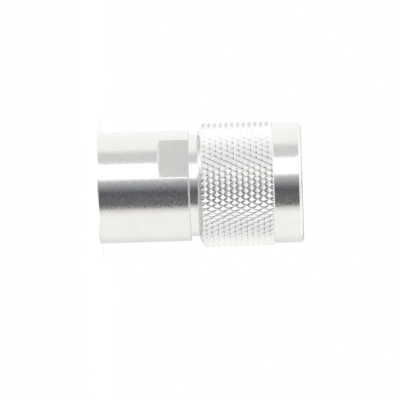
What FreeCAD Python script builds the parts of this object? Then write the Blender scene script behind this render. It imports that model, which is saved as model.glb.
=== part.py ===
import FreeCAD, Part
import math
import os

# A screw-on coaxial plug for cable: a turned shell with wrench flats, a captive coupling nut with a diamond
# knurl, and the contacts, insulators and cable clamp that the shell holds. The plug stands on the shell's rear
# face at z = 0 with its mating end on top, and every piece is centred on the Z axis. Sizes are in millimetres
# and angles in degrees. The heights are worked out from the lengths, below the sizes.

# Clearances: the first two are radial and the third is axial
fit_clearance = 0.03
running_clearance = 0.1
end_clearance = 0.05

# The cable that the rear end takes, and the play around its jacket
cable_d = 10.3
cable_clearance = 0.25
cable_gasket_clearance = 0.05

# Shell: barrel and neck, with a wall around the gland nut's thread
barrel_wall = 2.0
barrel_length = 15.25
barrel_round = 0.36
barrel_chamfer = 0.15
neck_step = 0.74
neck_length = 1.45

# Two opposite wrench flats, cut through the barrel's front shoulder: 17 mm across
flat_depth = 0.75
flats_length = 4.85
flat_ramp_angle = 66.0

# Spigot, which carries the coupling nut, with a wall around the outer contact's shank
spigot_wall = 2.27
spigot_length = 5.1
spigot_chamfer = 0.2

# Snap ring, an open ring that travels with the nut and slides in a wider groove of the spigot
snap_groove_depth = 0.7
snap_ring_width = 1.25
snap_ring_thickness = 0.9
snap_ring_gap = 2.4
nut_float = 0.5

# Coupling nut, inside: a collar on the spigot, a relief, the 5/8-24 UNEF thread and a plain lead-in
coupling_thread_d = 15.88
coupling_thread_depth = 0.465
nut_length = 17.3
collar_length = 2.15
collar_chamfer = 0.25
retaining_lip = 0.85
relief_clearance = 0.16
relief_length = 2.7
lead_in_clearance = 0.11
lead_in_depth = 1.9
mouth_chamfer = 0.25

# Coupling nut, outside: rear chamfer, knurl, and a smooth front ring below a second chamfer
nut_wall = 1.97
nut_rear_chamfer = 1.07
nut_rear_angle = 61.0
front_ring_wall = 1.95
front_ring_length = 4.7
front_ring_round = 0.6
front_chamfer_angle = 52.0

# Knurl, rolled over the chamfered nut, so that the chamfers cut its first and last diamonds
knurl_depth = 0.38
knurl_count = 64
knurl_pitch = 1.918
knurl_start = 0.3
knurl_ledge = 0.04
ledge_width = 0.02

# Interface gasket, around the outer contact on the spigot's front face
gasket_width = 2.4
gasket_thickness = 1.4

# Outer contact: a pressed shank that carries slotted spring fingers
finger_bore_d = 7.0
finger_wall = 0.55
finger_waist_depth = 0.2
finger_tip_band = 1.6
finger_tip_chamfer = 0.2
finger_tip_recess = 1.8
finger_slot_count = 4
finger_slot_width = 0.45
finger_slot_length = 7.2
shank_wall = 0.42

# Centre contact: pin, body with the collar that the insulators trap, and solder pot
pin_d = 1.65
pin_length = 5.2
pin_tip_recess = 0.1
pin_tip_d = 0.7
pin_tip_length = 0.8
contact_body_d = 3.04
contact_collar_width = 0.78
contact_collar_thickness = 0.7
contact_tail = 1.6
solder_pot_wall = 0.32
solder_pot_depth = 3.6
solder_hole_d = 1.0

# Insulators, either side of the shell's inner ledge
front_insulator_d = 8.5
front_insulator_length = 5.5
rear_insulator_step = 0.3
rear_insulator_length = 2.7
ledge_thickness = 0.7
ledge_bore_d = 7.2

# Gland nut and slip washer
gland_wall = 1.85
gland_nut_length = 4.6
gland_nut_recess = 0.3
gland_thread_runout = 0.3
gland_spigot_length = 0.8
gland_chamfer = 0.3
gland_mouth_chamfer = 0.35
gland_slot_count = 4
gland_slot_width = 1.7
gland_slot_depth = 1.3
slip_washer_thickness = 0.7

# Cable gasket and braid clamp, in a bore one step smaller than the gland nut's thread
clamp_bore_step = 0.65
cable_gasket_length = 2.6
braid_clamp_bore_d = 7.5
braid_clamp_length = 3.4
braid_flange_thickness = 1.2
braid_flange_step = 0.7
braid_nose_wall = 0.85
bite_ridge_height = 0.7
bite_ridge_width = 1.0

# Heights of the cable clamp's stack, from the rear
slip_washer_z = gland_nut_recess + gland_nut_length
cable_gasket_z = slip_washer_z + slip_washer_thickness
braid_clamp_z = cable_gasket_z + cable_gasket_length
rear_insulator_z = braid_clamp_z + braid_clamp_length
ledge_z = rear_insulator_z + rear_insulator_length
contact_seat_z = ledge_z + ledge_thickness
front_insulator_z = contact_seat_z + front_insulator_length
gland_thread_z = slip_washer_z - gland_spigot_length + gland_thread_runout

# Heights of the nut and of what it surrounds
seat_z = barrel_length + neck_length
spigot_z = seat_z + spigot_length
gasket_z = spigot_z + gasket_thickness
nut_front_z = seat_z + nut_length
nut_groove_z = seat_z + collar_length
snap_ring_z = nut_groove_z + end_clearance
nut_groove_end_z = snap_ring_z + snap_ring_thickness + end_clearance
relief_z = nut_groove_end_z + retaining_lip
thread_z = relief_z + relief_length
lead_in_z = nut_front_z - lead_in_depth
finger_tip_z = nut_front_z - finger_tip_recess
pin_tip_z = finger_tip_z - pin_tip_recess
pin_root_z = pin_tip_z - pin_length

# Radii of the cable's end, from the cable outwards
cable_bore_r = cable_d / 2 + cable_clearance
cable_gasket_bore_r = cable_d / 2 + cable_gasket_clearance
gland_thread_r = cable_bore_r + gland_wall
clamp_bore_r = gland_thread_r - clamp_bore_step
clamp_piece_r = clamp_bore_r - running_clearance
barrel_r = gland_thread_r + barrel_wall
flat_y = barrel_r - flat_depth
neck_r = barrel_r - neck_step

# Radii of the mating end, from the contacts outwards
contact_bore_r = contact_body_d / 2 + fit_clearance
contact_collar_r = contact_body_d / 2 + contact_collar_width
finger_bore_r = finger_bore_d / 2
finger_r = finger_bore_r + finger_wall
insulator_bore_r = front_insulator_d / 2 + fit_clearance
shank_r = insulator_bore_r + shank_wall
shank_bore_r = shank_r + fit_clearance
rear_insulator_r = shank_r + rear_insulator_step
gasket_bore_r = shank_r + running_clearance
spigot_r = shank_bore_r + spigot_wall
snap_groove_r = spigot_r - snap_groove_depth
snap_ring_inner_r = snap_groove_r + running_clearance
snap_ring_outer_r = snap_ring_inner_r + snap_ring_width
collar_r = spigot_r + running_clearance
relief_r = coupling_thread_d / 2 + relief_clearance
lead_in_r = coupling_thread_d / 2 + lead_in_clearance
front_ring_r = lead_in_r + front_ring_wall
knurl_root_r = relief_r + nut_wall
nut_rear_r = knurl_root_r - nut_rear_chamfer

# The chamfers at the knurl's ends run down to just below the root of its grooves
rear_slope = math.tan(math.radians(nut_rear_angle))
front_slope = -math.tan(math.radians(front_chamfer_angle))
knurl_end_r = knurl_root_r - knurl_ledge
knurl_rear_z = seat_z + (knurl_end_r - nut_rear_r) / rear_slope
knurl_front_z = nut_front_z - front_ring_length + (knurl_end_r - front_ring_r) / front_slope

AXIS = FreeCAD.Vector(0, 0, 1)
ORIGIN = FreeCAD.Vector(0, 0, 0)


def rounded_corner(before, corner, after, radius):
    """Gives the start, middle and end of the arc that rounds one corner of an outline."""
    back = (before - corner).normalize()
    ahead = (after - corner).normalize()
    half_angle = back.getAngle(ahead) / 2
    reach = radius / math.tan(half_angle)
    inward = (back + ahead).normalize()
    middle = corner + inward * (radius / math.sin(half_angle) - radius)
    return corner + back * reach, middle, corner + ahead * reach


def outline(points, rounds=None, closed=True):
    """Joins (radius, height) points in the XZ plane. rounds gives a radius to a point's index."""
    corners = [FreeCAD.Vector(r, 0, z) for r, z in points]
    edges = []
    start = corners[0]
    for i in range(1, len(corners)):
        if i in (rounds or {}):
            after = corners[(i + 1) % len(corners)]
            first, middle, end = rounded_corner(start, corners[i], after, rounds[i])
            edges.append(Part.LineSegment(start, first).toShape())
            edges.append(Part.Arc(first, middle, end).toShape())
            start = end
        else:
            edges.append(Part.LineSegment(start, corners[i]).toShape())
            start = corners[i]
    if closed:
        edges.append(Part.LineSegment(start, corners[0]).toShape())
    return Part.Wire(edges)


def turned(points, rounds=None):
    """A solid of revolution about the Z axis."""
    return Part.Face(outline(points, rounds)).revolve(ORIGIN, AXIS, 360)


def ring(inner_r, outer_r, low_z, high_z):
    """A plain ring or tube."""
    return turned([(inner_r, low_z), (outer_r, low_z), (outer_r, high_z), (inner_r, high_z)])


def radial_slots(count, width, reach, low_z, high_z):
    """Boxes that run out from the axis, evenly spaced, to cut slots with."""
    slots = []
    for i in range(count):
        slot = Part.makeBox(reach, width, high_z - low_z, FreeCAD.Vector(0, -width / 2, low_z))
        slot.rotate(ORIGIN, AXIS, 360 * i / count)
        slots.append(slot)
    return slots


def flat_cutter(side):
    """What the mill removes for one wrench flat, on the +Y side (1) or the -Y side (-1)."""
    outer_y = 2 * barrel_r
    start_z = barrel_length - flats_length
    ramp_z = start_z - (outer_y - flat_y) / math.tan(math.radians(flat_ramp_angle))
    profile = [(flat_y, start_z), (flat_y, barrel_length), (outer_y, barrel_length), (outer_y, ramp_z)]
    corners = [FreeCAD.Vector(-barrel_r, side * y, z) for y, z in profile]
    face = Part.Face(Part.makePolygon(corners + corners[:1]))
    return face.extrude(FreeCAD.Vector(2 * barrel_r, 0, 0))


def make_shell():
    groove_z = snap_ring_z - end_clearance
    groove_end_z = snap_ring_z + snap_ring_thickness + nut_float + end_clearance
    outside = [
        (gland_thread_r + gland_mouth_chamfer, 0),
        (barrel_r, 0),
        (barrel_r, barrel_length - barrel_chamfer),
        (barrel_r - barrel_chamfer, barrel_length),
        (neck_r, barrel_length),
        (neck_r, seat_z),
        (spigot_r, seat_z),
        (spigot_r, groove_z),
        (snap_groove_r, groove_z),
        (snap_groove_r, groove_end_z),
        (spigot_r, groove_end_z),
        (spigot_r, spigot_z - spigot_chamfer),
        (spigot_r - spigot_chamfer, spigot_z),
    ]
    inside = [
        (shank_bore_r, spigot_z),
        (shank_bore_r, contact_seat_z),
        (ledge_bore_d / 2, contact_seat_z),
        (ledge_bore_d / 2, ledge_z),
        (rear_insulator_r + fit_clearance, ledge_z),
        (rear_insulator_r + fit_clearance, rear_insulator_z),
        (clamp_bore_r, rear_insulator_z),
        (clamp_bore_r, gland_thread_z),
        (gland_thread_r, gland_thread_z),
        (gland_thread_r, gland_mouth_chamfer),
    ]
    shell = turned(outside + inside, {1: barrel_round})
    return shell.cut([flat_cutter(1), flat_cutter(-1)])


def make_snap_ring():
    closed_ring = ring(snap_ring_inner_r, snap_ring_outer_r, snap_ring_z, snap_ring_z + snap_ring_thickness)
    return closed_ring.cut(radial_slots(1, snap_ring_gap, relief_r, seat_z, spigot_z))


def knurl_point(radius, step, z):
    """A point of the knurl. One step is half of the circumferential pitch."""
    angle = math.pi * step / knurl_count
    return FreeCAD.Vector(radius * math.cos(angle), radius * math.sin(angle), z)


def beyond(point, end_z, slope):
    """How far a point stands outside the chamfer that starts at end_z."""
    return math.hypot(point.x, point.y) - knurl_end_r - (point.z - end_z) * slope


def crossing(inside, outside, end_z, slope):
    """Where a straight edge of the knurl meets a chamfer, by halving."""
    for _ in range(48):
        middle = (inside + outside) * 0.5
        if beyond(middle, end_z, slope) > 0:
            outside = middle
        else:
            inside = middle
    return inside


def chamfered(corners, end_z, slope, cuts):
    """Cuts a face of the knurl off at a chamfer, and notes the ends of the new edge in cuts."""
    kept = []
    for i, corner in enumerate(corners):
        before = corners[i - 1]
        before_stays = beyond(before, end_z, slope) <= 0
        stays = beyond(corner, end_z, slope) <= 0
        if before_stays and not stays:
            cuts.append(crossing(before, corner, end_z, slope))
            kept.append(cuts[-1])
        if stays and not before_stays:
            cuts.append(crossing(corner, before, end_z, slope))
            kept.append(cuts[-1])
        if stays:
            kept.append(corner)
    return kept


def flat_face(corners):
    return Part.Face(Part.makePolygon(corners + corners[:1]))


def diamond(z, step):
    """The four triangles of one pyramid of the knurl."""
    left = knurl_point(knurl_root_r, step - 1, z)
    right = knurl_point(knurl_root_r, step + 1, z)
    below = knurl_point(knurl_root_r, step, z - knurl_pitch / 2)
    above = knurl_point(knurl_root_r, step, z + knurl_pitch / 2)
    peak = knurl_point(knurl_root_r + knurl_depth, step, z)
    return [[peak, left, below], [peak, below, right], [peak, right, above], [peak, above, left]]


def chamfer_faces(cuts, end_z):
    """One chamfer, from the edge where it cuts the diamonds down to its end, and the narrow ledge below it."""
    around = {round(math.atan2(cut.y, cut.x), 6): cut for cut in cuts}
    tops = [around[angle] for angle in sorted(around)]
    feet = [FreeCAD.Vector(top.x, top.y, 0).normalize() * knurl_end_r for top in tops]
    feet = [FreeCAD.Vector(foot.x, foot.y, end_z) for foot in feet]
    strip = [flat_face([tops[i - 1], tops[i], feet[i], feet[i - 1]]) for i in range(len(tops))]
    polygon = Part.makePolygon(feet + feet[:1])
    circle = Part.Wire(Part.makeCircle(knurl_end_r - ledge_width, FreeCAD.Vector(0, 0, end_z)))
    return strip + [Part.makeFace([polygon, circle], "Part::FaceMakerBullseye")]


def knurl_faces():
    """Staggered rows of diamonds, side by side all the way round, between the two chamfers."""
    rear_cuts = []
    front_cuts = []
    faces = []
    rows = math.ceil((knurl_front_z - seat_z) / knurl_pitch * 2) + 2
    for row in range(rows):
        z = seat_z + knurl_start + row * knurl_pitch / 2
        for i in range(knurl_count):
            for corners in diamond(z, 2 * i + row % 2):
                corners = chamfered(corners, knurl_rear_z, rear_slope, rear_cuts)
                corners = chamfered(corners, knurl_front_z, front_slope, front_cuts)
                if len(corners) > 2:
                    faces.append(flat_face(corners))
    return faces + chamfer_faces(rear_cuts, knurl_rear_z) + chamfer_faces(front_cuts, knurl_front_z)


def make_coupling_nut():
    """The knurl and its chamfers are closed into a solid by the turned surfaces of the nut's ends and bores."""
    thread_minor_r = coupling_thread_d / 2 - coupling_thread_depth
    profile = [
        (knurl_end_r - ledge_width, knurl_rear_z),
        (nut_rear_r, seat_z),
        (collar_r + collar_chamfer, seat_z),
        (collar_r, seat_z + collar_chamfer),
        (collar_r, nut_groove_z),
        (snap_ring_outer_r + running_clearance, nut_groove_z),
        (snap_ring_outer_r + running_clearance, nut_groove_end_z),
        (collar_r, nut_groove_end_z),
        (collar_r, relief_z),
        (relief_r, relief_z),
        (relief_r, thread_z),
        (thread_minor_r, thread_z),
        (thread_minor_r, lead_in_z),
        (lead_in_r, lead_in_z),
        (lead_in_r, nut_front_z - mouth_chamfer),
        (lead_in_r + mouth_chamfer, nut_front_z),
        (front_ring_r, nut_front_z),
        (front_ring_r, nut_front_z - front_ring_length),
        (knurl_end_r - ledge_width, knurl_front_z),
    ]
    front_edge = len(profile) - 3
    turned_faces = outline(profile, {front_edge: front_ring_round}, closed=False).revolve(ORIGIN, AXIS, 360)
    skin = Part.makeShell(turned_faces.Faces + knurl_faces())
    skin.sewShape()
    nut = Part.makeSolid(skin)
    if nut.Volume < 0:
        nut.reverse()
    return nut


def make_interface_gasket():
    return ring(gasket_bore_r, gasket_bore_r + gasket_width, spigot_z, gasket_z)


def make_outer_contact():
    waist_r = finger_r - finger_waist_depth
    band_z = finger_tip_z - finger_tip_band
    sleeve = turned(
        [
            (insulator_bore_r, contact_seat_z),
            (shank_r, contact_seat_z),
            (shank_r, gasket_z),
            (waist_r, gasket_z),
            (waist_r, band_z - finger_waist_depth),
            (finger_r, band_z),
            (finger_r, finger_tip_z - finger_tip_chamfer),
            (finger_r - finger_tip_chamfer, finger_tip_z),
            (finger_bore_r, finger_tip_z),
            (finger_bore_r, front_insulator_z),
            (insulator_bore_r, front_insulator_z),
        ]
    )
    slot_z = finger_tip_z - finger_slot_length
    return sleeve.cut(radial_slots(finger_slot_count, finger_slot_width, lead_in_r, slot_z, nut_front_z))


def make_centre_contact():
    body_r = contact_body_d / 2
    pin_r = pin_d / 2
    pot_r = body_r - solder_pot_wall
    collar_z = ledge_z - contact_collar_thickness
    tail_z = rear_insulator_z - contact_tail
    contact = turned(
        [
            (0, tail_z + solder_pot_depth),
            (pot_r, tail_z + solder_pot_depth),
            (pot_r, tail_z),
            (body_r, tail_z),
            (body_r, collar_z),
            (contact_collar_r, collar_z),
            (contact_collar_r, ledge_z),
            (body_r, ledge_z),
            (body_r, pin_root_z),
            (pin_r, pin_root_z),
            (pin_r, pin_tip_z - pin_tip_length),
            (pin_tip_d / 2, pin_tip_z),
            (0, pin_tip_z),
        ]
    )
    hole_start = FreeCAD.Vector(0, 0, tail_z + contact_tail / 2)
    return contact.cut(Part.makeCylinder(solder_hole_d / 2, body_r * 2, hole_start, FreeCAD.Vector(1, 0, 0)))


def make_front_insulator():
    return turned(
        [
            (contact_bore_r, ledge_z),
            (ledge_bore_d / 2 - fit_clearance, ledge_z),
            (ledge_bore_d / 2 - fit_clearance, contact_seat_z),
            (front_insulator_d / 2, contact_seat_z),
            (front_insulator_d / 2, front_insulator_z),
            (contact_bore_r, front_insulator_z),
        ]
    )


def make_rear_insulator():
    pocket_r = contact_collar_r + fit_clearance
    pocket_z = ledge_z - contact_collar_thickness
    return turned(
        [
            (contact_bore_r, rear_insulator_z),
            (rear_insulator_r, rear_insulator_z),
            (rear_insulator_r, ledge_z),
            (pocket_r, ledge_z),
            (pocket_r, pocket_z),
            (contact_bore_r, pocket_z),
        ]
    )


def bite_ridge(clearance):
    """The V that the braid clamp's rear face presses into the cable gasket, or its groove with a clearance."""
    crest_r = (cable_gasket_bore_r + clamp_piece_r) / 2
    half_width = bite_ridge_width / 2 + clearance
    crest_z = braid_clamp_z - bite_ridge_height - clearance
    return [(crest_r - half_width, braid_clamp_z), (crest_r, crest_z), (crest_r + half_width, braid_clamp_z)]


def make_braid_clamp():
    flange_z = braid_clamp_z + braid_flange_thickness
    bore_r = braid_clamp_bore_d / 2
    return turned(
        [(bore_r, braid_clamp_z)]
        + bite_ridge(0)
        + [
            (clamp_piece_r, braid_clamp_z),
            (clamp_piece_r, flange_z),
            (clamp_piece_r - braid_flange_step, flange_z),
            (bore_r + braid_nose_wall, rear_insulator_z),
            (bore_r, rear_insulator_z),
        ]
    )


def make_cable_gasket():
    return turned(
        [
            (cable_gasket_bore_r, cable_gasket_z),
            (clamp_piece_r, cable_gasket_z),
            (clamp_piece_r, braid_clamp_z),
        ]
        + bite_ridge(end_clearance)[::-1]
        + [(cable_gasket_bore_r, braid_clamp_z)]
    )


def make_slip_washer():
    return ring(cable_bore_r, clamp_piece_r, slip_washer_z, cable_gasket_z)


def make_gland_nut():
    thread_r = gland_thread_r - fit_clearance
    spigot_start_z = slip_washer_z - gland_spigot_length
    nut = turned(
        [
            (cable_bore_r, gland_nut_recess + gland_chamfer),
            (cable_bore_r + gland_chamfer, gland_nut_recess),
            (thread_r - gland_chamfer, gland_nut_recess),
            (thread_r, gland_nut_recess + gland_chamfer),
            (thread_r, spigot_start_z),
            (clamp_piece_r, spigot_start_z),
            (clamp_piece_r, slip_washer_z),
            (cable_bore_r, slip_washer_z),
        ]
    )
    slot_top_z = gland_nut_recess + gland_slot_depth
    return nut.cut(radial_slots(gland_slot_count, gland_slot_width, barrel_r, 0, slot_top_z))


pieces = {
    "shell": make_shell(),
    "coupling_nut": make_coupling_nut(),
    "snap_ring": make_snap_ring(),
    "interface_gasket": make_interface_gasket(),
    "outer_contact": make_outer_contact(),
    "centre_contact": make_centre_contact(),
    "front_insulator": make_front_insulator(),
    "rear_insulator": make_rear_insulator(),
    "braid_clamp": make_braid_clamp(),
    "cable_gasket": make_cable_gasket(),
    "slip_washer": make_slip_washer(),
    "gland_nut": make_gland_nut(),
}

os.makedirs("parts", exist_ok=True)
for name, piece in pieces.items():
    piece.exportStep(f"parts/{name}.step")
    print(name, len(piece.Solids), "solid", round(piece.Volume, 2), "mm3", "valid" if piece.isValid() else "NOT VALID")
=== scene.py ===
import math

import bpy
from mathutils import Matrix, Vector


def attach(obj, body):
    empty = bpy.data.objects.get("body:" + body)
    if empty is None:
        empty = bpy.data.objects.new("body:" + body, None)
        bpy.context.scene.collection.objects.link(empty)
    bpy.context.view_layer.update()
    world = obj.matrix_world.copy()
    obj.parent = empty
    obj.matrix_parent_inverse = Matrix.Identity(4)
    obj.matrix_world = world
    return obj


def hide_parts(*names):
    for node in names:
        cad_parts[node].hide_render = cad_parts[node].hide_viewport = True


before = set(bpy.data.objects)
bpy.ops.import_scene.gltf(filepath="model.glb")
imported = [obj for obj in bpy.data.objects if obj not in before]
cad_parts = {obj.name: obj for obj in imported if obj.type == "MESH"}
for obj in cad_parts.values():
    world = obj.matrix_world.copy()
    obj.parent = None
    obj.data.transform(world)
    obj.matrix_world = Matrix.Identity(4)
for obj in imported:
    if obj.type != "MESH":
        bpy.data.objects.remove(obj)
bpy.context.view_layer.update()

# Shell of the plug, turned from brass bar and plated bright: a plain barrel, a neck, and the spigot that
# the coupling nut turns on. Two wrench flats are milled through the barrel's front shoulder, and the rear
# end is bored and threaded for the cable clamp.
MM = 0.001
FACES_ROUND = 256
SMALL_ROUND = 0.15

barrel_r = 9.25
barrel_top = 15.25
barrel_round = 0.36
barrel_front_round = 0.16
neck_r = 8.51
seat_z = 16.7
spigot_r = 7.0
spigot_top = 21.8
groove_r = 6.3
groove_bottom, groove_top = 18.85, 20.35
gland_thread_r, gland_thread_top = 7.25, 4.4
clamp_bore_r = 6.6
bead_bore_r = 5.03
bead_bottom, ledge_bottom, ledge_top = 11.6, 14.3, 15.0
ledge_bore_r = 3.6
contact_bore_r = 4.73
flat_y = 8.5
flat_bottom = 10.4
flat_ramp = math.radians(66)
mouth_chamfer = 0.35
neck_round, seat_round = 0.1, 0.08
spigot_round, contact_bore_round = 0.2, 0.1


def begin_edit(piece):
    """Makes one piece the only selected one and opens it for editing."""
    bpy.ops.object.select_all(action="DESELECT")
    bpy.context.view_layer.objects.active = piece
    piece.select_set(True)
    bpy.ops.object.mode_set(mode="EDIT")


def pick_points(piece, wanted):
    """In edit mode, selects the points whose place makes wanted true."""
    bpy.ops.mesh.select_mode(type="VERT")
    bpy.ops.mesh.select_all(action="DESELECT")
    bpy.ops.object.mode_set(mode="OBJECT")
    for point in piece.data.vertices:
        point.select = wanted(point.co / MM)
    bpy.ops.object.mode_set(mode="EDIT")


def turn(name, outline, rounds=None):
    """Turns a closed outline of (radius, height) points in mm about the plug's axis.
    rounds gives a radius in mm to the number of each corner that is rounded."""
    bpy.ops.object.select_all(action="DESELECT")
    bpy.ops.mesh.primitive_plane_add(size=MM)
    piece = bpy.context.object
    piece.name = piece.data.name = name
    bpy.ops.object.mode_set(mode="EDIT")
    bpy.ops.mesh.merge(type="CENTER")
    here = Vector((outline[0][0], 0, outline[0][1]))
    bpy.ops.transform.translate(value=here * MM)
    for radius, z in outline[1:]:
        there = Vector((radius, 0, z))
        bpy.ops.mesh.extrude_region_move(TRANSFORM_OT_translate={"value": (there - here) * MM})
        here = there
    if outline[0][0] > 0:
        ends = [Vector((radius, 0, z)) for radius, z in (outline[0], outline[-1])]
        pick_points(piece, lambda co: min((co - end).length for end in ends) < 1e-4)
        bpy.ops.mesh.edge_face_add()
    for corner, radius in (rounds or {}).items():
        place = Vector((outline[corner][0], 0, outline[corner][1]))
        pick_points(piece, lambda co: (co - place).length < 1e-4)
        steps = 6 if radius > SMALL_ROUND else 3
        bpy.ops.mesh.bevel(offset=radius * MM, segments=steps, affect="VERTICES")
    bpy.ops.mesh.select_all(action="SELECT")
    bpy.ops.mesh.spin(steps=FACES_ROUND, angle=math.tau, center=(0, 0, 0), axis=(0, 0, 1))
    bpy.ops.mesh.select_all(action="SELECT")
    bpy.ops.mesh.remove_doubles(threshold=1e-7)
    bpy.ops.mesh.normals_make_consistent(inside=False)
    bpy.ops.object.mode_set(mode="OBJECT")
    return piece


def block(low, high):
    """A milling cutter's path: a plain block between two corners, in mm, that is used up by a cut."""
    bpy.ops.object.select_all(action="DESELECT")
    bpy.ops.mesh.primitive_cube_add(size=MM)
    piece = bpy.context.object
    bpy.ops.object.mode_set(mode="EDIT")
    size = Vector(high) - Vector(low)
    bpy.ops.transform.resize(value=size, center_override=(0, 0, 0))
    bpy.ops.transform.translate(value=(Vector(low) + Vector(high)) / 2 * MM)
    bpy.ops.object.mode_set(mode="OBJECT")
    return piece


def cut(piece, cutter, solver="EXACT"):
    """Takes the cutter's shape out of the piece."""
    bpy.ops.object.select_all(action="DESELECT")
    bpy.context.view_layer.objects.active = piece
    piece.select_set(True)
    modifier = piece.modifiers.new("cut", "BOOLEAN")
    modifier.operation = "DIFFERENCE"
    modifier.solver = solver
    modifier.object = cutter
    bpy.ops.object.modifier_apply(modifier=modifier.name)
    bpy.data.objects.remove(cutter)


def ease_edges(piece, width, angle):
    """Rounds each edge where the faces turn by more than the angle in degrees. The width is in mm."""
    edges = piece.modifiers.new("edges", "BEVEL")
    edges.width = width * MM
    edges.segments = 2
    edges.angle_limit = math.radians(angle)
    bpy.ops.object.modifier_apply(modifier=edges.name)


def smooth(piece, angle=15):
    """Shades the piece round, with a crease where its faces turn by more than the angle in degrees."""
    bpy.ops.object.select_all(action="DESELECT")
    bpy.context.view_layer.objects.active = piece
    piece.select_set(True)
    bpy.ops.object.shade_smooth_by_angle(angle=math.radians(angle))


def node(owner, kind, inputs=None, **settings):
    """Adds a shader node. Its inputs are numbers, colours or other nodes' outputs, by name or number."""
    made = owner.node_tree.nodes.new(kind)
    for setting, value in settings.items():
        setattr(made, setting, value)
    for socket, value in (inputs or {}).items():
        if isinstance(value, bpy.types.NodeSocket):
            owner.node_tree.links.new(value, made.inputs[socket])
        else:
            made.inputs[socket].default_value = value
    return made


def span(owner, value, low, high, to_low, to_high):
    """Spreads a value from one range over another, and holds it there."""
    made = node(owner, "ShaderNodeMapRange", {0: value, 1: low, 2: high, 3: to_low, 4: to_high})
    return made.outputs[0]


def new_finish(name, metallic, **sockets):
    """A material with one Principled shader, and the values that are the same all over it."""
    material = bpy.data.materials.new(name)
    material.use_nodes = True
    shader = material.node_tree.nodes["Principled BSDF"]
    shader.inputs["Metallic"].default_value = metallic
    for socket, value in sockets.items():
        shader.inputs[socket.replace("_", " ")].default_value = value
    place = node(material, "ShaderNodeTexCoord").outputs["Object"]
    return material, shader, place


def grain(material, place, size, stretch=(1, 1, 1)):
    """Noise with patches of about the size given, in mm, drawn out by stretch."""
    shrink = [1 / factor for factor in stretch]
    drawn = node(material, "ShaderNodeMapping", {"Vector": place, "Scale": shrink})
    noise = node(
        material,
        "ShaderNodeTexNoise",
        {"Vector": drawn.outputs[0], "Scale": 1 / (size * MM), "Detail": 3.0, "Roughness": 0.55},
    )
    return noise.outputs["Fac"]


def set_input(material, shader, socket, value):
    """Leads a value that changes over the surface into one of the shader's inputs."""
    material.node_tree.links.new(value, shader.inputs[socket])


def tint(material, factor, dark, bright):
    """A colour between two, by a factor."""
    mix = node(material, "ShaderNodeMix", {"Factor": factor}, data_type="RGBA")
    mix.inputs["A"].default_value = (*dark, 1)
    mix.inputs["B"].default_value = (*bright, 1)
    return mix.outputs["Result"]


def raise_surface(material, shader, height, depth):
    """A fine relief, with its depth in mm."""
    bump = node(material, "ShaderNodeBump", {"Height": height, "Strength": 1.0, "Distance": depth * MM})
    set_input(material, shader, "Normal", bump.outputs["Normal"])


def plated(name, dark, bright, smoothest, roughest):
    """Plating over turned metal: fine marks round the axis, a satin grain and a slight change of tone."""
    material, shader, place = new_finish(name, 1.0)
    marks = grain(material, place, 0.2, stretch=(4, 4, 1))
    satin = grain(material, place, 0.14, stretch=(3, 3, 1))
    cloud = grain(material, place, 4.0)
    rough = span(material, satin, 0.35, 0.68, smoothest, roughest)
    tone = node(material, "ShaderNodeMath", {0: marks, 1: cloud}, operation="MULTIPLY").outputs[0]
    brightness = span(material, tone, 0.15, 0.35, 0, 1)
    set_input(material, shader, "Base Color", tint(material, brightness, dark, bright))
    set_input(material, shader, "Roughness", rough)
    raise_surface(material, shader, marks, 0.006)
    return material


def fit(piece, material, body, slot, *solids):
    """Gives a piece its finish, and puts it on its body in place of its solids."""
    piece.data.materials.clear()
    piece.data.materials.append(material)
    for face in piece.data.polygons:
        face.material_index = 0
    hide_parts(*solids)
    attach(piece, body)


body_plating = plated("body plating", (0.775, 0.775, 0.775), (0.805, 0.805, 0.80), 0.08, 0.30)

# Points this close to a round keep it out of the shading of the straight run beside it.
hold = 0.04
shell_outline = [
    (gland_thread_r + mouth_chamfer, 0),
    (barrel_r, 0),
    (barrel_r, barrel_round + hold),
    (barrel_r, barrel_top - barrel_front_round - hold),
    (barrel_r, barrel_top),
    (neck_r, barrel_top),
    (neck_r, barrel_top + neck_round + hold),
    (neck_r, seat_z - seat_round - hold),
    (neck_r, seat_z),
    (spigot_r, seat_z),
    (spigot_r, groove_bottom),
    (groove_r, groove_bottom),
    (groove_r, groove_top),
    (spigot_r, groove_top),
    (spigot_r, spigot_top),
    (contact_bore_r, spigot_top),
    (contact_bore_r, ledge_top),
    (ledge_bore_r, ledge_top),
    (ledge_bore_r, ledge_bottom),
    (bead_bore_r, ledge_bottom),
    (bead_bore_r, bead_bottom),
    (clamp_bore_r, bead_bottom),
    (clamp_bore_r, gland_thread_top),
    (gland_thread_r, gland_thread_top),
    (gland_thread_r, mouth_chamfer),
]
shell_rounds = {1: barrel_round, 4: barrel_front_round, 5: neck_round, 8: seat_round}
shell_rounds.update({14: spigot_round, 15: contact_bore_round})
shell = turn("plug_shell", shell_outline, shell_rounds)
mill_half, mill_reach = 10, 12
ramp_drop = (mill_reach - flat_y) / math.tan(flat_ramp)
for side in (1, -1):
    inner, outer = sorted((side * flat_y, side * mill_reach))
    mill = block((-mill_half, inner, flat_bottom), (mill_half, outer, barrel_top + 1))
    begin_edit(mill)
    pick_points(mill, lambda co: abs(co.y) > mill_half and co.z < flat_bottom + 0.1)
    bpy.ops.transform.translate(value=(0, 0, -ramp_drop * MM))
    bpy.ops.object.mode_set(mode="OBJECT")
    cut(shell, mill)
ease_edges(shell, 0.05, 20)
smooth(shell)
fit(shell, body_plating, "shell", "plated_body", "shell")

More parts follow.
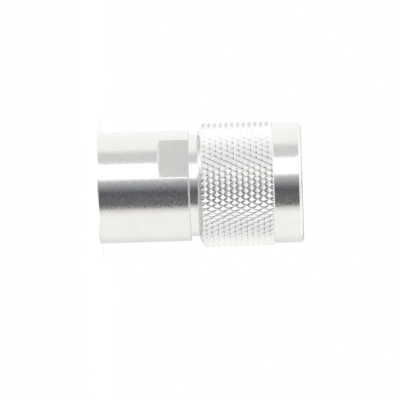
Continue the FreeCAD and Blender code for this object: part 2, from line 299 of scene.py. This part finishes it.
# Coupling nut, turned from brass bar, its outside rolled with a diamond knurl and then plated. A collar and
# a lip inside hold it to the snap ring, and the front half is tapped 5/8-24 for the jack. The knurl is
# rolled over the chamfered blank, so the chamfers at both its ends cut the diamonds.
nut_front = 34.0
nut_rear_r = 9.0
nut_rear_angle = math.radians(61)
nut_front_angle = math.radians(52)
knurl_tip_r = 10.45
knurl_root_r = 10.07
knurl_pitch = 0.959
knurl_start = seat_z + 0.3
knurl_round = 64
ring_r = 10.0
ring_round = 0.6
land_round = 0.06
land_top = 29.3
collar_r = 7.1
lip_bottom, lip_top = 19.85, 20.7
ring_groove_r = 7.75
relief_r = 8.1
relief_top = 23.4
thread_r, thread_major_r = 7.475, 7.94
thread_top = 32.1
thread_pitch = 25.4 / 24
thread_chamfer = 0.3
lead_in_r = 8.05
lead_in_step = 0.15
mouth_bevel = 0.25


def knurl_cutter():
    """What rolling takes off: the room outside one closed sleeve of diamonds. One diamond is shaped in rings
    from its base to its tip and copied round the nut, and each row is copied half a diamond on.
    A ring has its share of the base's size, its height in mm, how far the points beside a corner slide
    towards the next corner, and how much of its two side corners is blunted."""
    half_width = knurl_root_r * math.sin(math.pi / knurl_round)
    side_drop = knurl_root_r * (1 - math.cos(math.pi / knurl_round))
    first_z = knurl_start - 2 * knurl_pitch
    rows = 18
    rings = [
        (1, 0, 0.08, 0),
        (0.94, 0.013, 0.12, 0.1),
        (0.66, 0.132, 0.1, 0),
        (0.17, 0.340, 0.2, 0),
        (0.07, 0.372, 0.2, 0),
    ]
    ring_points = 12
    corner_lead = 0.6
    flare, room_r = 1.2, 11.5
    bpy.ops.object.select_all(action="DESELECT")
    bpy.ops.mesh.primitive_circle_add(
        vertices=ring_points, radius=MM, fill_type="NGON", rotation=(0, math.pi / 2, 0)
    )
    piece = bpy.context.object
    bpy.ops.object.transform_apply(location=True, rotation=True, scale=True)
    begin_edit(piece)
    bpy.ops.mesh.select_all(action="SELECT")
    bpy.ops.transform.translate(value=(0, 0, first_z * MM))
    corners = [(1, 0), (0, 1), (-1, 0), (0, -1)]
    for size, height, slide, blunt in rings:
        if size < 1:
            bpy.ops.mesh.extrude_region_move(TRANSFORM_OT_translate={"value": (MM, 0, 0)})
        bpy.ops.object.mode_set(mode="OBJECT")
        ring = [point for point in piece.data.vertices if point.select]
        ring.sort(
            key=lambda point: (math.atan2(point.co.z - first_z * MM, point.co.y) + corner_lead) % math.tau
        )
        for place, point in enumerate(ring):
            step = place % 3 - 1
            corner, other = Vector(corners[place // 3]), Vector(corners[(place // 3 + step) % 4])
            spread = corner.lerp(other, slide) if step else corner * (1 - blunt * abs(corner.x))
            across, along = size * spread
            drop = side_drop * abs(across) if size == 1 else 0
            co = Vector((knurl_root_r + height - drop, across * half_width, first_z + along * knurl_pitch))
            point.co = co * MM
        bpy.ops.object.mode_set(mode="EDIT")
    bpy.ops.mesh.select_mode(type="FACE")
    bpy.ops.mesh.select_all(action="DESELECT")
    bpy.ops.object.mode_set(mode="OBJECT")
    for face in piece.data.polygons:
        face.select = len(face.vertices) == ring_points and face.center.x < (knurl_root_r + 0.01) * MM
    bpy.ops.object.mode_set(mode="EDIT")
    bpy.ops.mesh.delete(type="ONLY_FACE")
    bpy.ops.mesh.select_mode(type="VERT")
    bpy.ops.mesh.select_all(action="SELECT")
    copies = knurl_round - 1
    turned_by = math.tau * copies / knurl_round
    bpy.ops.mesh.spin(steps=copies, angle=turned_by, dupli=True, center=(0, 0, 0), axis=(0, 0, 1))
    bpy.ops.mesh.select_all(action="SELECT")
    for row in range(rows - 1):
        bpy.ops.mesh.duplicate_move(TRANSFORM_OT_translate={"value": (0, 0, knurl_pitch * MM)})
        bpy.ops.transform.rotate(value=math.pi / knurl_round, orient_axis="Z", center_override=(0, 0, 0))
    bpy.ops.mesh.select_all(action="SELECT")
    bpy.ops.mesh.remove_doubles(threshold=0.002 * MM)
    low = first_z + knurl_pitch + 0.01
    high = first_z + (rows - 2) * knurl_pitch - 0.01
    for end_z, inner in ((low, True), (high, False)):
        bpy.ops.mesh.select_all(action="SELECT")
        bpy.ops.mesh.bisect(
            plane_co=(0, 0, end_z * MM),
            plane_no=(0, 0, 1),
            clear_inner=inner,
            clear_outer=not inner,
            threshold=1e-8,
        )
    for end_z in (low, high):
        pick_points(piece, lambda co: abs(co.z - end_z) < 1e-3)
        bpy.ops.mesh.extrude_edges_move()
        bpy.ops.transform.resize(value=(flare, flare, 1), center_override=(0, 0, 0))
    pick_points(piece, lambda co: co.xy.length > room_r)
    bpy.ops.mesh.bridge_edge_loops()
    bpy.ops.mesh.select_all(action="SELECT")
    bpy.ops.mesh.normals_make_consistent(inside=False)
    bpy.ops.object.mode_set(mode="OBJECT")
    return piece


def tap(start_z, end_z):
    """The tap's path: a ridge of the thread's section, wound along the axis from start to end."""
    half_minor = thread_pitch * 3 / 8
    half_major = thread_pitch / 16
    slope = (half_minor - half_major) / (thread_major_r - thread_r)
    overlap = 0.07
    inner_r = thread_r - overlap
    half_inner = half_minor + overlap * slope
    section = [(inner_r, -half_inner), (thread_major_r, -half_major), (thread_major_r, half_major)]
    section.append((inner_r, half_inner))
    bpy.ops.object.select_all(action="DESELECT")
    bpy.ops.mesh.primitive_plane_add(size=MM)
    piece = bpy.context.object
    bpy.ops.object.mode_set(mode="EDIT")
    bpy.ops.mesh.delete(type="ONLY_FACE")
    bpy.ops.object.mode_set(mode="OBJECT")
    ring = [piece.data.edges[0].vertices[0]]
    while len(ring) < 4:
        joined = [set(edge.vertices) - {ring[-1]} for edge in piece.data.edges if ring[-1] in edge.vertices]
        ring.append(next(other for pair in joined for other in pair if other not in ring))
    for index, (radius, z) in zip(ring, section):
        piece.data.vertices[index].co = Vector((radius, 0, start_z + z)) * MM
    wind = piece.modifiers.new("wind", "SCREW")
    wind.axis = "Z"
    wind.angle = math.tau
    wind.screw_offset = thread_pitch * MM
    wind.iterations = math.ceil((end_z - start_z) / thread_pitch)
    wind.steps = wind.render_steps = 96
    bpy.ops.object.modifier_apply(modifier=wind.name)
    begin_edit(piece)
    bpy.ops.mesh.select_all(action="SELECT")
    bpy.ops.mesh.remove_doubles(threshold=1e-7)
    bpy.ops.mesh.fill_holes(sides=4)
    bpy.ops.mesh.select_all(action="SELECT")
    bpy.ops.mesh.normals_make_consistent(inside=False)
    bpy.ops.object.mode_set(mode="OBJECT")
    return piece


chamfer_top = seat_z + (knurl_tip_r - nut_rear_r) / math.tan(nut_rear_angle)
nut_outline = [
    (collar_r + mouth_bevel, seat_z),
    (nut_rear_r, seat_z),
    (knurl_tip_r, chamfer_top),
    (knurl_tip_r, land_top - (knurl_tip_r - ring_r) / math.tan(nut_front_angle)),
    (ring_r, land_top),
    (ring_r, land_top + land_round + hold),
    (ring_r, nut_front - ring_round - hold),
    (ring_r, nut_front),
    (lead_in_r + mouth_bevel, nut_front),
    (lead_in_r, nut_front - mouth_bevel),
    (lead_in_r, thread_top + lead_in_step),
    (lead_in_r - lead_in_step, thread_top),
    (thread_r + thread_chamfer, thread_top),
    (thread_r, thread_top - thread_chamfer),
    (thread_r, relief_top),
    (relief_r, relief_top),
    (relief_r, lip_top),
    (collar_r, lip_top),
    (collar_r, lip_bottom),
    (ring_groove_r, lip_bottom),
    (ring_groove_r, groove_bottom),
    (collar_r, groove_bottom),
    (collar_r, seat_z + mouth_bevel),
]
nut_rounds = {1: 0.08, 2: 0.05, 4: land_round, 7: ring_round, 8: 0.06, 9: 0.05, 15: 0.1, 16: 0.2, 17: 0.1}
nut = turn("knurled_nut", nut_outline, nut_rounds)
cut(nut, knurl_cutter(), solver="MANIFOLD")
tap_start, tap_end = relief_top - 0.9, thread_top + 0.7
cut(nut, tap(tap_start, tap_end), solver="MANIFOLD")
smooth(nut, 30)
nut_plating = plated("nut plating", (0.785, 0.785, 0.785), (0.82, 0.82, 0.815), 0.08, 0.28)
fit(nut, nut_plating, "coupling_nut", "plated_nut", "coupling_nut")

# Snap ring, bent from flat spring-bronze wire and left bare. It lies in the shell's wide groove and in the
# nut's narrow one, and carries the nut along the shell. Its solid has its true shape, so it stays.
spring_bronze = plated("spring bronze", (0.50, 0.34, 0.17), (0.66, 0.48, 0.27), 0.22, 0.40)
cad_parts["snap_ring"].data.materials.clear()
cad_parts["snap_ring"].data.materials.append(spring_bronze)

# Interface gasket, moulded silicone rubber, stretched over the outer contact. It lies on the spigot's end,
# and the nose of the jack presses on its front face.
gasket_inner_r, gasket_outer_r, gasket_top = 4.8, 7.2, 23.2
gasket_outline = [
    (gasket_inner_r, spigot_top),
    (gasket_outer_r, spigot_top),
    (gasket_outer_r, gasket_top),
    (gasket_inner_r, gasket_top),
]
gasket = turn("front_gasket", gasket_outline, {0: 0.1, 1: 0.3, 2: 0.3, 3: 0.3})
smooth(gasket, 40)
silicone, shader, place = new_finish("red silicone", 0.0, Specular_IOR_Level=0.4)
mottle = grain(silicone, place, 1.2)
set_input(silicone, shader, "Base Color", tint(silicone, mottle, (0.30, 0.055, 0.03), (0.46, 0.10, 0.055)))
set_input(silicone, shader, "Roughness", span(silicone, grain(silicone, place, 0.1), 0.3, 0.7, 0.42, 0.62))
raise_surface(silicone, shader, grain(silicone, place, 0.25), 0.012)
fit(gasket, silicone, "shell", "seal_rubber", "interface_gasket")

# Outer contact, a silver-plated bronze sleeve pressed into the spigot. Four saw cuts part its front end into
# spring fingers, which stand on a thinner waist so that they can flex.
root_r, root_bore_r, waist_r, finger_r, finger_bore_r = 4.7, 4.28, 3.85, 4.05, 3.5
waist_top, finger_bottom, finger_top = 30.4, 30.6, 32.2
bead_front = 20.5
contact_outline = [
    (root_bore_r, ledge_top),
    (root_r, ledge_top),
    (root_r, gasket_top),
    (waist_r, gasket_top),
    (waist_r, waist_top),
    (finger_r, finger_bottom),
    (finger_r, finger_top),
    (finger_bore_r, finger_top),
    (finger_bore_r, bead_front),
    (root_bore_r, bead_front),
]
contact_rounds = {1: 0.08, 2: 0.12, 3: 0.12, 4: 0.2, 5: 0.2, 6: 0.2, 7: 0.12}
outer_contact = turn("finger_sleeve", contact_outline, contact_rounds)
slot_width = 0.45
slot_bottom = 25.0
for half_x, half_y in ((6, slot_width / 2), (slot_width / 2, 6)):
    cut(outer_contact, block((-half_x, -half_y, slot_bottom), (half_x, half_y, nut_front)))
ease_edges(outer_contact, 0.03, 40)
smooth(outer_contact, 25)
silver = plated("silver plating", (0.70, 0.68, 0.64), (0.83, 0.82, 0.79), 0.14, 0.30)
fit(outer_contact, silver, "shell", "plated_contact", "outer_contact")

# Centre contact, turned from brass and gold plated: the pin, the body, a collar that the two beads trap, and
# a solder pot with a cross hole for the cable's inner conductor.
pot_bore_r, shank_r, flange_r, pin_r, point_r = 1.2, 1.52, 2.3, 0.825, 0.35
pot_bottom, flange_bottom, shank_top, taper_bottom, pin_top = 10.0, 13.6, 26.9, 31.3, 32.1
pin_outline = [
    (0, flange_bottom),
    (pot_bore_r, flange_bottom),
    (pot_bore_r, pot_bottom),
    (shank_r, pot_bottom),
    (shank_r, flange_bottom),
    (flange_r, flange_bottom),
    (flange_r, ledge_bottom),
    (shank_r, ledge_bottom),
    (shank_r, shank_top),
    (pin_r, shank_top),
    (pin_r, taper_bottom),
    (point_r, pin_top),
    (0, pin_top),
]
pin = turn("contact_pin", pin_outline, {3: 0.06, 4: 0.06, 5: 0.06, 8: 0.15, 9: 0.1, 10: 0.3, 11: 0.16})
solder_hole_r, solder_hole_z = 0.5, 10.8
bpy.ops.object.select_all(action="DESELECT")
bpy.ops.mesh.primitive_cylinder_add(
    vertices=32,
    radius=solder_hole_r * MM,
    depth=2 * pot_bore_r * MM,
    location=(pot_bore_r * MM, 0, solder_hole_z * MM),
    rotation=(0, math.pi / 2, 0),
)
cut(pin, bpy.context.object)
smooth(pin, 25)
gold = plated("gold plating", (0.72, 0.50, 0.20), (0.86, 0.66, 0.32), 0.14, 0.28)
fit(pin, gold, "shell", "gold_contact", "centre_contact")

# Two fluoropolymer beads, turned from rod, which hold the centre contact by its collar: one inside the outer
# contact's root, and one behind the shell's ledge. The plastic is waxy white and lets some light in.
white_bead, shader, place = new_finish(
    "white fluoropolymer", 0.0, Subsurface_Weight=0.25, Subsurface_Scale=0.001, Specular_IOR_Level=0.35
)
turning = grain(white_bead, place, 0.12, stretch=(5, 5, 1))
waxy_white = tint(white_bead, turning, (0.84, 0.84, 0.81), (0.92, 0.92, 0.90))
set_input(white_bead, shader, "Base Color", waxy_white)
set_input(white_bead, shader, "Roughness", span(white_bead, turning, 0.3, 0.7, 0.34, 0.52))
raise_surface(white_bead, shader, turning, 0.003)
bead_hole_r, flange_hole_r = 1.55, 2.33
front_nose_r, front_bead_r, rear_bead_r = 3.57, 4.25, 5.0
front_outline = [
    (bead_hole_r, ledge_bottom),
    (front_nose_r, ledge_bottom),
    (front_nose_r, ledge_top),
    (front_bead_r, ledge_top),
    (front_bead_r, bead_front),
    (bead_hole_r, bead_front),
]
rear_outline = [
    (bead_hole_r, bead_bottom),
    (rear_bead_r, bead_bottom),
    (rear_bead_r, ledge_bottom),
    (flange_hole_r, ledge_bottom),
    (flange_hole_r, flange_bottom),
    (bead_hole_r, flange_bottom),
]


def all_round(outline, radius):
    """The same small round, in mm, for every corner of an outline."""
    return {corner: radius for corner in range(len(outline))}


for name, outline, solid in (
    ("front_bead", front_outline, "front_insulator"),
    ("rear_bead", rear_outline, "rear_insulator"),
):
    bead = turn(name, outline, all_round(outline, 0.08))
    smooth(bead, 30)
    fit(bead, white_bead, "shell", "insulator", solid)

# Braid clamp, a coned brass ring that the cable's braid is folded back over. Its rear face has a V ridge that
# bites into the cable gasket.
stack_r = 6.5
clamp_bottom, clamp_rim_top = 8.2, 9.4
clamp_hole_r, cone_r, cone_top_r = 3.75, 5.8, 4.6
ridge_r, ridge_half, ridge_low = 5.85, 0.5, 7.5
clamp_outline = [
    (clamp_hole_r, clamp_bottom),
    (ridge_r - ridge_half, clamp_bottom),
    (ridge_r, ridge_low),
    (ridge_r + ridge_half, clamp_bottom),
    (stack_r, clamp_bottom),
    (stack_r, clamp_rim_top),
    (cone_r, clamp_rim_top),
    (cone_top_r, bead_bottom),
    (clamp_hole_r, bead_bottom),
]
clamp = turn("braid_ring", clamp_outline, {2: 0.05, 5: 0.06, 6: 0.06, 7: 0.1, 8: 0.06})
smooth(clamp, 30)
fit(clamp, body_plating, "shell", "plated_body", "braid_clamp")

# Cable gasket, a black rubber ring that is squeezed on to the cable's jacket. The braid clamp's ridge lies in
# its V groove.
seal_hole_r, seal_bottom = 5.2, 5.6
v_half, v_low = 0.55, 7.45
seal_outline = [
    (seal_hole_r, seal_bottom),
    (stack_r, seal_bottom),
    (stack_r, clamp_bottom),
    (ridge_r + v_half, clamp_bottom),
    (ridge_r, v_low),
    (ridge_r - v_half, clamp_bottom),
    (seal_hole_r, clamp_bottom),
]
seal = turn("cable_seal", seal_outline, {0: 0.15, 1: 0.15})
smooth(seal, 40)
black_rubber, shader, place = new_finish("black rubber", 0.0, Specular_IOR_Level=0.35)
bloom = grain(black_rubber, place, 1.5)
rubber_black = tint(black_rubber, bloom, (0.012, 0.012, 0.012), (0.045, 0.045, 0.045))
set_input(black_rubber, shader, "Base Color", rubber_black)
set_input(black_rubber, shader, "Roughness", span(black_rubber, bloom, 0.3, 0.7, 0.5, 0.7))
raise_surface(black_rubber, shader, grain(black_rubber, place, 0.2), 0.01)
fit(seal, black_rubber, "shell", "gland_rubber", "cable_gasket")

# Slip washer, stamped from plated brass. It keeps the gland nut from twisting the gasket.
washer_hole_r, washer_bottom = 5.4, 4.9
washer_outline = [
    (washer_hole_r, washer_bottom),
    (stack_r, washer_bottom),
    (stack_r, seal_bottom),
    (washer_hole_r, seal_bottom),
]
washer = turn("thrust_washer", washer_outline, all_round(washer_outline, 0.06))
smooth(washer, 30)
fit(washer, body_plating, "shell", "plated_body", "slip_washer")

# Gland nut, a threaded brass ring that lies in the barrel's rear end and squeezes the clamp. A pin wrench
# turns it by the four slots in its face.
gland_r, gland_bottom, gland_step = 7.22, 0.3, 4.1
gland_outline = [
    (washer_hole_r, gland_bottom),
    (gland_r, gland_bottom),
    (gland_r, gland_step),
    (stack_r, gland_step),
    (stack_r, washer_bottom),
    (washer_hole_r, washer_bottom),
]
gland = turn("slotted_gland", gland_outline, {0: 0.3, 1: 0.3, 2: 0.06, 4: 0.06, 5: 0.06})
slot_half, slot_top = 0.85, 1.6
for half_x, half_y in ((9, slot_half), (slot_half, 9)):
    cut(gland, block((-half_x, -half_y, -0.5), (half_x, half_y, slot_top)))
ease_edges(gland, 0.05, 40)
smooth(gland, 25)
fit(gland, body_plating, "shell", "plated_body", "gland_nut")

# Studio: what the plating mirrors. A large white tent with one lamp over the plug and one dark panel in
# front, drawn by the direction of each mirrored ray, so that it is the same from every side.
world = bpy.data.worlds.new("studio")
bpy.context.scene.world = world
world.use_nodes = True
world.node_tree.nodes.clear()
view_turn = math.radians(32)
plating_tone = 0.8
mirror_strength = 2.0
direction = node(world, "ShaderNodeTexCoord").outputs["Generated"]
faced = node(
    world, "ShaderNodeMapping", {"Vector": direction, "Rotation": (0, 0, math.pi / 2 - view_turn)}
)
round_axis = node(world, "ShaderNodeTexGradient", {"Vector": faced.outputs[0]}, gradient_type="RADIAL")
around = round_axis.outputs["Fac"]
height = node(world, "ShaderNodeSeparateXYZ", {0: direction}).outputs["Z"]


def light_of(shade):
    """The light that the plating shows as this shade, from 0 to 255."""
    value = shade / 255
    linear = value / 12.92 if value <= 0.04045 else ((value + 0.055) / 1.055) ** 2.4
    return linear / plating_tone / mirror_strength


def band_of(angle, stops):
    """The light round the plug's axis: a ramp through stops of an angle in degrees from the camera's side,
    a shade and a warmth."""
    ramp_node = node(world, "ShaderNodeValToRGB", {"Fac": angle})
    ramp = ramp_node.color_ramp
    ramp.elements.remove(ramp.elements[1])
    for number, (degrees, shade, warmth) in enumerate(stops):
        place = degrees / 360 + 0.5
        stop = ramp.elements[0] if number == 0 else ramp.elements.new(place)
        stop.position = place
        stop.color = (light_of(shade + warmth), light_of(shade), light_of(shade - 1.5 * warmth), 1)
    return ramp_node.outputs["Color"]


def blend(factor, first, second):
    """One light that goes over into another, by a factor."""
    mix = node(world, "ShaderNodeMix", {"Factor": factor}, data_type="RGBA")
    world.node_tree.links.new(first, mix.inputs["A"])
    world.node_tree.links.new(second, mix.inputs["B"])
    return mix.outputs["Result"]


# The dark panel and the strip beside it, seen in what stands upright. They lean a little with the height.
steepness = node(world, "ShaderNodeMath", {0: height}, operation="ABSOLUTE").outputs[0]
leaning = span(world, steepness, 0.05, 0.35, 0, 10 / 360)
band_angle = node(world, "ShaderNodeMath", {0: around, 1: leaning}, operation="ADD").outputs[0]
band_stops = [
    (-180, 226, 0), (-150, 244, 1), (-86, 244, 2), (-73, 205, 1), (-51, 200, 1), (-44, 300, 1),
    (-20, 300, 1), (-13, 182, 0), (-5, 160, -1), (3, 126, -2), (11, 86, -2.5), (16, 82, -2.5),
    (21, 95, -1.5), (40, 98, 0), (43, 100, 2), (45.5, 160, 3), (49, 210, 3), (57, 237, 2),
    (63, 241, 2), (112, 240, 2), (130, 234, 1.5), (145, 220, 1), (180, 208, 0),
]
panel = band_of(band_angle, band_stops)

# The tent over the plug and under it, seen in the knurl and from above.
side_stops = [
    (-180, 170, 0), (-150, 235, 0), (-110, 252, 0), (-60, 254, 0), (-20, 252, 0), (0, 240, 0),
    (12, 232, 0), (32, 232, 0), (50, 238, 1), (70, 248, 1), (110, 248, 1), (140, 244, 0),
    (158, 190, 0), (180, 170, 0),
]
pale_stops = [
    (-180, 240, 0), (-120, 254, 0), (-30, 256, 0), (-8, 250, 0), (10, 240, 0), (28, 228, 0),
    (45, 238, 0), (62, 252, 1), (180, 240, 0),
]
behind_stops = [
    (-180, 300, 0), (-60, 300, 0), (-22, 290, 0), (-8, 235, 0), (8, 235, 0), (22, 290, 0), (180, 300, 0),
]
table = node(world, "ShaderNodeRGB").outputs[0]
table.default_value = (light_of(175), light_of(176), light_of(178), 1)
to_behind = span(world, height, -0.78, -0.66, 1, 0)
to_table = span(world, height, -0.94, -0.87, 1, 0)
to_top = span(world, height, -0.1, 0.1, 0, 1)
low_side = blend(to_behind, band_of(around, pale_stops), band_of(around, behind_stops))
low_tent = blend(to_table, low_side, table)
tent = blend(to_top, low_tent, band_of(around, side_stops))

# What a mirrored ray meets: the panel when it is near level, and otherwise the tent.
above = node(world, "ShaderNodeMapRange", {0: height, 1: 0.16, 2: 0.34}, interpolation_type="SMOOTHSTEP")
below = node(world, "ShaderNodeMapRange", {0: height, 1: -0.44, 2: -0.56}, interpolation_type="SMOOTHSTEP")
to_tent = node(world, "ShaderNodeMath", {0: above.outputs[0], 1: below.outputs[0]}, operation="MAXIMUM")
mirrored = blend(to_tent.outputs[0], panel, tent)
white = (1, 1, 1, 1)
for_metal = node(world, "ShaderNodeBackground", {"Color": mirrored, "Strength": mirror_strength})
for_plain = node(world, "ShaderNodeBackground", {"Color": white, "Strength": 0.55})
for_view = node(world, "ShaderNodeBackground", {"Color": white, "Strength": 1.0})
path = node(world, "ShaderNodeLightPath").outputs
seen = node(
    world,
    "ShaderNodeMath",
    {0: path["Is Camera Ray"], 1: path["Is Transmission Ray"]},
    operation="MAXIMUM",
)
lights = {0: path["Is Glossy Ray"], 1: for_plain.outputs[0], 2: for_metal.outputs[0]}
lit = node(world, "ShaderNodeMixShader", lights)
whole = node(world, "ShaderNodeMixShader", {0: seen.outputs[0], 1: lit.outputs[0], 2: for_view.outputs[0]})
node(world, "ShaderNodeOutputWorld", {0: whole.outputs[0]})

# Floor that the plug stands on: white, with a soft shadow near the plug that fades out into plain white.
# The distances over which it fades are in metres.
bpy.ops.object.select_all(action="DESELECT")
bpy.ops.mesh.primitive_plane_add(size=4)
floor = bpy.context.object
floor.name = "floor"
floor.visible_glossy = False
white_floor = bpy.data.materials.new("white floor")
white_floor.use_nodes = True
white_floor.node_tree.nodes.clear()
spot = node(white_floor, "ShaderNodeTexCoord").outputs["Object"]
reach = node(white_floor, "ShaderNodeVectorMath", {0: spot}, operation="LENGTH").outputs["Value"]
fade_start, fade_end = 0.013, 0.055
plain = span(white_floor, reach, fade_start, fade_end, 0.5, 1.0)
matte = node(white_floor, "ShaderNodeBsdfDiffuse", {"Color": white})
glow = node(white_floor, "ShaderNodeEmission", {"Color": white, "Strength": 1.0})
laid = node(white_floor, "ShaderNodeMixShader", {0: plain, 1: matte.outputs[0], 2: glow.outputs[0]})
node(white_floor, "ShaderNodeOutputMaterial", {0: laid.outputs[0]})
floor.data.materials.append(white_floor)

# Soft lamp overhead, for the rubber, the plastic and the floor. The plating doesn't mirror it.
bpy.ops.object.light_add(type="AREA", location=(0.1, -0.15, 0.6))
lamp = bpy.context.object
lamp.name = "soft lamp"
lamp.data.shape = "DISK"
lamp.data.size = 0.5
lamp.data.energy = 3.2
lamp.rotation_euler = (Vector((0, 0, 0)) - lamp.location).to_track_quat("-Z", "Y").to_euler()
lamp.visible_glossy = False

# Camera: level with the plug and rolled a quarter turn, so that the standing plug is seen lying on its
# side, as photographed, from the side where one wrench flat faces up and forwards.
bpy.ops.object.camera_add()
camera = bpy.context.object
camera.name = "camera"
bpy.context.scene.camera = camera
camera.data.sensor_width = 36
camera.data.lens = 349.7
distance = 0.65
tilt = math.radians(1.75)
yaw = math.radians(1.37)
axis = Vector((0, 0, 1))
facing = Vector((math.sin(view_turn), -math.cos(view_turn), 0))
upward = Vector((-math.cos(view_turn), -math.sin(view_turn), 0))
across = math.cos(tilt) * axis - math.sin(tilt) * upward
back = (math.cos(yaw) * facing + math.sin(yaw) * across).normalized()
right = (across - across.dot(back) * back).normalized()
up = back.cross(right)
middle = 0.01688
set_down = 0.00246
aim = Vector((0, 0, middle)) - set_down * up
turned_to = Matrix((right, up, back)).transposed().to_4x4()
camera.matrix_world = Matrix.Translation(aim + distance * back) @ turned_to
camera.data.clip_start = 0.01
camera.data.clip_end = 20

scene = bpy.context.scene
scene.view_settings.view_transform = "Standard"
bpy.context.view_layer.update()
